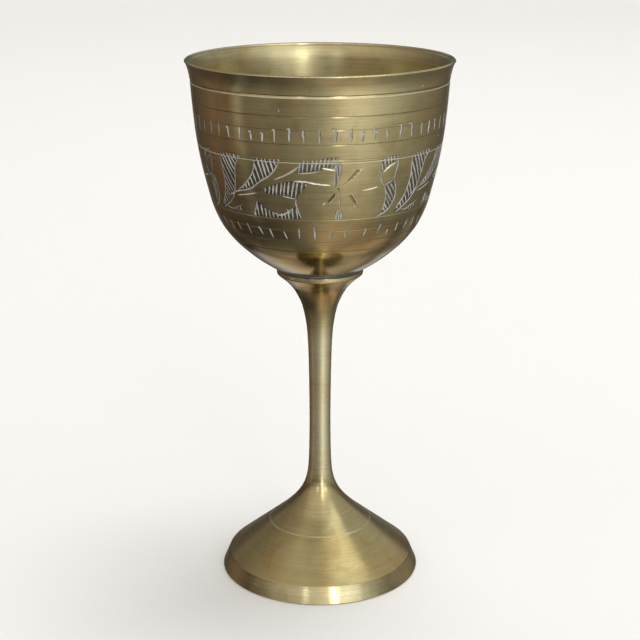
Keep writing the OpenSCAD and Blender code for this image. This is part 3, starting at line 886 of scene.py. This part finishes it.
GOLD, OLIVE, BROWN = (0.535, 0.465, 0.26), (0.47, 0.4, 0.213), (0.385, 0.31, 0.155)
m_bowl = brass("bowl_brass_turned", GOLD, OLIVE, BROWN, worn=[(141.9, 143, 0.25)])
m_polished = brass("bowl_brass_polished", GOLD, OLIVE, BROWN, 0.11, 0.3, leaded=[(85, 87.9, 0.5)])
m_inside = brass("bowl_brass_inside", (0.62, 0.555, 0.325), (0.56, 0.49, 0.275), (0.46, 0.385, 0.2), 0.31, 0.7, 0.12, 0.05)
# the shaft from 30 to 66 mm is painted paler: a painted sheen standing in for its broad highlight
m_stem = brass("stem_brass_turned", (0.555, 0.475, 0.25), (0.49, 0.41, 0.207), (0.4, 0.322, 0.152), 0.2, 0.5, worn=[(85.0, 85.4, 0.1)], leaded=[(86.3, 87.2, 0.2)], pale=[(30, 66, 6, 0.9, 0.08)])
# the band from the foot's edge up to 4.3 mm is painted paler: a painted sheen standing in for its bright highlights
m_foot = brass("foot_brass_turned", (0.57, 0.485, 0.24), (0.505, 0.42, 0.2), (0.42, 0.335, 0.15), 0.2, 0.7, 0.2, 0.4,
               worn=[(-1, 0.4, 0.15)], pale=[(-1, 4.3, 0.2, 0.55, -0.04)])
# ground of the hatched leaves: tarnish and painted shade between the cuts
m_ground_stain_and_shade = brass("bowl_brass_tarnish_and_painted_shade", (0.25, 0.23, 0.16), (0.215, 0.195, 0.13), (0.17, 0.15, 0.095), 0.26, 0.55)
m_white = cut_metal("chased_cut_silvered", (0.53, 0.53, 0.495), (0.3, 0.3, 0.28), 0.25, 0.5)
# white cuts left of the front: a darker copy of the silvered cut, painted shade
m_shaded_side = cut_metal("chased_cut_shaded_side", (0.35, 0.335, 0.295), (0.21, 0.2, 0.175), 0.35, 0.47)
# broad flank of the bright cuts: bare cut metal with a painted highlight
m_bright = cut_metal("chased_cut_bright", (0.8, 0.77, 0.61), (0.6, 0.56, 0.41), 0.55, 0.3)
# steep flank of the bright cuts and darker upper flank of some rings: painted shade
m_shaded_flank = cut_metal("chased_cut_painted_shade", (0.2, 0.145, 0.065), (0.1, 0.07, 0.03), 0.9, 0.36)
m_olive = cut_metal("chased_gouge_olive", (0.56, 0.47, 0.25), (0.41, 0.335, 0.17), 0.95, 0.32)
m_cream = cut_metal("chased_cut_cream", (0.6, 0.56, 0.44), (0.42, 0.385, 0.295), 0.25, 0.45)
m_shade = cut_metal("chased_gouge_dark", (0.32, 0.265, 0.135), (0.22, 0.175, 0.085), 0.95, 0.34)
# strip beside the white cuts, on the side away from the light: tarnish and painted shade
m_stain_and_shade = cut_metal("chased_tarnish_and_painted_shade", (0.16, 0.14, 0.095), (0.09, 0.075, 0.05), 0.8, 0.42)
# lower flanks of the lip groove and one ring, and edges beside gouges: painted highlight
m_lit_edge = cut_metal("painted_highlight_edge", (0.66, 0.6, 0.42), (0.52, 0.46, 0.3), 0.6, 0.38)
m_solder = cut_metal("solder_grey", (0.25, 0.255, 0.275), (0.1, 0.1, 0.11), 0.8, 0.4)
# the foot's seam line: braze, painted pale, which also stands in for the bright highlight along the seam
m_line = cut_metal("braze_line_pale", (0.63, 0.56, 0.33), (0.43, 0.37, 0.19), 0.9, 0.3)
m_stud = cut_metal("stud_steel", (0.5, 0.5, 0.5), (0.3, 0.3, 0.3), 1.0, 0.35)

for ob, mats, slot, node in ((bowl, (m_bowl, m_white, m_bright, m_shaded_flank, m_stain_and_shade, m_lit_edge, m_inside, m_ground_stain_and_shade, m_olive, m_cream, m_shade, m_polished, m_shaded_side),
                              "bowl_brass", "bowl"),
                             (stem, (m_stem,), "stem_brass", "stem"),
                             (foot, (m_foot,), "foot_brass", "foot"),
                             (foot_line, (m_line,), "seam_line", "foot_solder"),
                             (solder, (m_solder,), "solder", "bowl_solder")):
    for mt in mats:
        ob.data.materials.append(mt)
    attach(ob, "root")
    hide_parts(node)
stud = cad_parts["bowl_stud"]
for i in range(max(1, len(stud.material_slots))):
    if stud.material_slots:
        stud.material_slots[i].material = m_stud
    else:
        stud.data.materials.append(m_stud)


# ------------------------------------------------------------------ stage, light and camera
def at(az, el, dist):
    """A point seen from the cup: azimuth 0 is the camera's side, positive to its right."""
    a, e = math.radians(az), math.radians(el)
    return (dist * math.sin(a) * math.cos(e), -dist * math.cos(a) * math.cos(e), 0.1 + dist * math.sin(e))


def area(name, loc, target, sx, sy, power, color=(1, 1, 1), mirrored=True):
    l = bpy.data.lights.new(name, "AREA")
    l.shape, l.size, l.size_y, l.energy, l.color = "RECTANGLE", sx, sy, power, color
    o = bpy.data.objects.new(name, l)
    o.location = loc
    o.rotation_mode = "QUATERNION"
    o.rotation_quaternion = (Vector(target) - Vector(loc)).to_track_quat("-Z", "Y")
    o.visible_camera = False
    o.visible_glossy = mirrored
    bpy.context.scene.collection.objects.link(o)
    return o


# a round floor that curves up into a low rim, and into a tall one behind the cup
verts, faces, STEPS = [(0.0, 0.0, 0.0)], [], 96
for i in range(STEPS):
    az = 2 * math.pi * i / STEPS - math.pi
    k = min(1.0, max(0.0, (abs(az) - 1.66) / 0.96))
    k = k * k * (3 - 2 * k)
    end, wall = math.pi / 2 * (0.62 + 0.38 * k), 0.25 + 2.25 * k
    prof = [(0.8, 0.0), (1.6, 0.0)] + [(1.6 + math.sin(a), 1.0 - math.cos(a)) for a in np.linspace(0, end, 20)[1:]]
    prof.append((prof[-1][0] + wall * math.cos(end), prof[-1][1] + wall * math.sin(end)))
    verts += [(r * math.sin(az), -r * math.cos(az), z) for r, z in prof]
    p, q = 1 + i * len(prof), 1 + (i + 1) % STEPS * len(prof)
    faces += [(0, p, q)] + [(p + j, p + j + 1, q + j + 1, q + j) for j in range(len(prof) - 1)]
me = bpy.data.meshes.new("floor")
me.from_pydata(verts, [], faces)
me.polygons.foreach_set("use_smooth", [True] * len(me.polygons))
floor = bpy.data.objects.new("floor", me)
floor.visible_glossy = False      # the metal mirrors the room below instead
bpy.context.scene.collection.objects.link(floor)
m_floor, nt, bsdf = nodes_of("floor_pale")
bsdf.inputs["Base Color"].default_value = (0.79, 0.785, 0.77, 1)
bsdf.inputs["Roughness"].default_value = 0.75
floor.data.materials.append(m_floor)

# The room that the metal mirrors: soft gradients round the cup, darker towards its foot.
world = bpy.data.worlds.new("studio")
world.use_nodes = True
t = Net(world.node_tree)
bg = world.node_tree.nodes["Background"]
sep = t.new("ShaderNodeSeparateXYZ")
t.link(t.new("ShaderNodeTexCoord").outputs["Generated"], sep.inputs[0])
turn = t.remap(t.math("ARCTAN2", sep.outputs[0], t.math("MULTIPLY", sep.outputs[1], -1.0)), -math.pi, math.pi, 0, 1)
rise = t.math("DEGREES", t.math("ARCSINE", sep.outputs[2]))


def round_ramp(stops):
    return t.ramp(turn, [((a + 180) / 360, c) for a, c in stops])


low = round_ramp([(-180, (0.2, 0.2, 0.205)), (-170, (0.16, 0.155, 0.16)), (-163, (0.14, 0.12, 0.1)), (-150, (0.09, 0.07, 0.055)), (-125, (0.19, 0.14, 0.11)),
                  (-112, (0.29, 0.2, 0.16)), (-100, (0.27, 0.195, 0.15)), (-86, (0.27, 0.225, 0.185)), (-79, (0.62, 0.58, 0.54)), (-71, (0.29, 0.26, 0.235)),
                  (-48, (0.365, 0.33, 0.295)), (-34, (0.305, 0.275, 0.255)), (-20, (0.42, 0.39, 0.36)), (-4, (0.5, 0.49, 0.47)), (14, (0.82, 0.83, 0.81)),
                  (27, (1.28, 1.29, 1.25)), (40, (1.18, 1.18, 1.13)), (54, (0.92, 0.91, 0.86)), (78, (0.62, 0.61, 0.58)),
                  (100, (0.42, 0.41, 0.38)), (125, (0.27, 0.25, 0.22)), (150, (0.13, 0.11, 0.085)), (163, (0.2, 0.18, 0.16)), (170, (0.22, 0.215, 0.21)),
                  (180, (0.2, 0.2, 0.205))])
under = round_ramp([(-180, (0.14, 0.11, 0.08)), (-164, (0.08, 0.065, 0.05)), (-151, (0.36, 0.285, 0.22)), (-138, (0.39, 0.33, 0.27)), (-122, (0.145, 0.13, 0.115)),
                    (-60, (0.095, 0.09, 0.085)), (-38, (0.145, 0.13, 0.115)), (-14, (0.3, 0.26, 0.21)), (10, (0.55, 0.46, 0.37)), (50, (0.5, 0.42, 0.34)),
                    (78, (0.33, 0.28, 0.235)), (92, (0.38, 0.32, 0.26)), (113, (0.78, 0.6, 0.45)), (128, (0.62, 0.5, 0.38)), (140, (0.3, 0.25, 0.2)),
                    (152, (0.5, 0.42, 0.34)), (180, (0.14, 0.11, 0.08))])
high = round_ramp([(-180, 0.12), (-140, (0.12, 0.1, 0.085)), (-60, (0.08, 0.06, 0.045)), (-24, (0.1, 0.08, 0.06)), (-9, 0.2), (0, 0.46),
                   (9, 0.85), (16, 1.6), (24, 0.85), (35, 0.6), (48, 0.38), (62, 0.28), (90, 0.17), (120, 0.18), (180, 0.12)])
upper = round_ramp([(-180, 0.35), (-130, (0.25, 0.23, 0.21)), (-105, (0.42, 0.37, 0.34)), (-82, (0.51, 0.45, 0.41)),
                    (-66, (0.73, 0.67, 0.61)), (-40, (0.86, 0.81, 0.75)), (-10, (0.92, 0.89, 0.85)), (5, 1.05), (20, 1.3), (36, 1.2),
                    (50, 0.98), (70, 0.84), (88, 0.62), (110, 0.55), (145, 0.5), (180, 0.35)])
side = round_ramp([(-180, 0.8), (-150, 0.7), (-125, (0.49, 0.51, 0.56)), (-105, (0.52, 0.57, 0.68)), (-68, (0.61, 0.65, 0.73)), (-57, 0.9), (-40, 1.08), (-28, 1.2), (14, 1.2), (26, 1.0),
                   (52, 1.0), (78, 0.87), (110, 0.8), (126, 0.68), (150, 0.6), (180, 0.8)])
edges = round_ramp([(-180, 1.0), (-149, 1.0), (-139, 2.8), (-129, 1.0), (128, 1.0), (139, 3.6), (150, 4.4), (161, 1.8), (180, 1.0)])
nadir = round_ramp([(-180, 1.2), (-140, 1.5), (-90, 1.5), (-40, 1.7), (-10, 1.5), (20, 1.2), (70, 1.0), (130, 1.0), (180, 1.2)])
fall = t.ramp(t.remap(rise, -90, 0, 0, 1), [(0.44, 0.22), (0.52, 0.38), (0.6, 0.6), (0.7, 0.84), (0.8, 1.0)])
# the pale floor behind the cup, mirrored in the underside of its bowl
depth = t.remap(rise, -90, 0, 0, 1)
behind_l = t.ramp(depth, [(0.2, (0.12, 0.1, 0.08)), (0.3, (0.3, 0.24, 0.18)), (0.38, (0.62, 0.5, 0.39)), (0.45, (0.72, 0.6, 0.48)), (0.5, (0.68, 0.66, 0.68)),
                          (0.56, (0.54, 0.54, 0.58)), (0.64, (0.22, 0.22, 0.235)), (0.72, (0.1, 0.1, 0.105)), (0.8, (0.08, 0.08, 0.083))])
behind_r = t.ramp(depth, [(0.2, (0.12, 0.1, 0.08)), (0.3, (0.3, 0.24, 0.18)), (0.37, (0.6, 0.5, 0.4)), (0.45, (0.5, 0.42, 0.34)), (0.5, (0.22, 0.18, 0.14)),
                          (0.56, (0.24, 0.21, 0.18)), (0.62, (0.62, 0.6, 0.59)), (0.68, (0.58, 0.56, 0.55)), (0.74, (0.13, 0.128, 0.125)), (0.8, (0.2, 0.197, 0.193))])
behind = t.mix(t.remap(turn, 0.49, 0.51, 0, 1), behind_l, behind_r)
off = t.math("SUBTRACT", t.math("ABSOLUTE", t.math("SUBTRACT", turn, 0.5)), t.remap(rise, -42, -30, 0, 0.03))
back = t.math("MULTIPLY", t.remap(off, 0.413, 0.437, 0, 1, smooth=True), t.remap(rise, -24, -15, 1, 0, smooth=True))
under = t.mix(t.remap(rise, -72, -60, 1, 0, smooth=True), under, t.mix(1.0, under, nadir, "MULTIPLY"))
low = t.mix(t.remap(rise, -52, -38, 1, 0, smooth=True), t.mix(1.0, low, fall, "MULTIPLY"), under)
low = t.mix(t.math("MULTIPLY", t.remap(rise, -60, -54, 0, 1), t.remap(rise, -28, -18, 1, 0)), low, t.mix(1.0, low, side, "MULTIPLY"))
low = t.mix(t.band(rise, -40, -30, 4), low, t.mix(1.0, low, edges, "MULTIPLY"))
low = t.mix(back, low, behind)
sky = t.mix(t.remap(rise, 10, 19, 0, 1, smooth=True), high, upper)
sky = t.mix(t.remap(rise, 52, 80, 0, 1, smooth=True), sky, (0.6, 0.595, 0.57))
t.link(t.mix(t.remap(rise, -6, 8, 0, 1, smooth=True), low, sky), bg.inputs["Color"])
bg.inputs["Strength"].default_value = 1.0
bpy.context.scene.world = world

mid = (0, 0, 0.1)
area("window_wide", at(38, 21, 1.3), mid, 0.53, 0.22, 0.62, (1, 0.99, 0.95))
area("window_bright", at(17, 20, 1.25), mid, 0.16, 0.95, 1.6, (1, 0.99, 0.95))
area("window_narrow", at(-17, 22, 1.25), mid, 0.09, 0.2, 0.27, (0.92, 0.97, 1))
area("top_soft", (0.62, -0.14, 1.46), (0, 0, 0), 0.55, 0.9, 1.3, (0.94, 1, 0.95))
area("floor_fill", (0.3, 0.25, 1.7), (0, 0.1, 0), 0.75, 0.75, 12.0, mirrored=False)
area("back_fill", (0.0, 1.2, 2.2), (0, 2.2, 0.2), 2.4, 1.2, 12.0, mirrored=False)

cam = bpy.data.cameras.new("camera")
cam.sensor_width = 36.0
cam.lens = 85.0
co = bpy.data.objects.new("camera", cam)
co.location = (0.0, -0.392, 0.1915)
co.rotation_mode = "XYZ"
co.rotation_euler = (math.radians(90 - 17.0), 0, 0)
cam.clip_start, cam.clip_end = 0.01, 50
bpy.context.scene.collection.objects.link(co)
bpy.context.scene.camera = co
bpy.context.scene.view_settings.view_transform = "Standard"
bpy.context.scene.view_settings.look = "None"
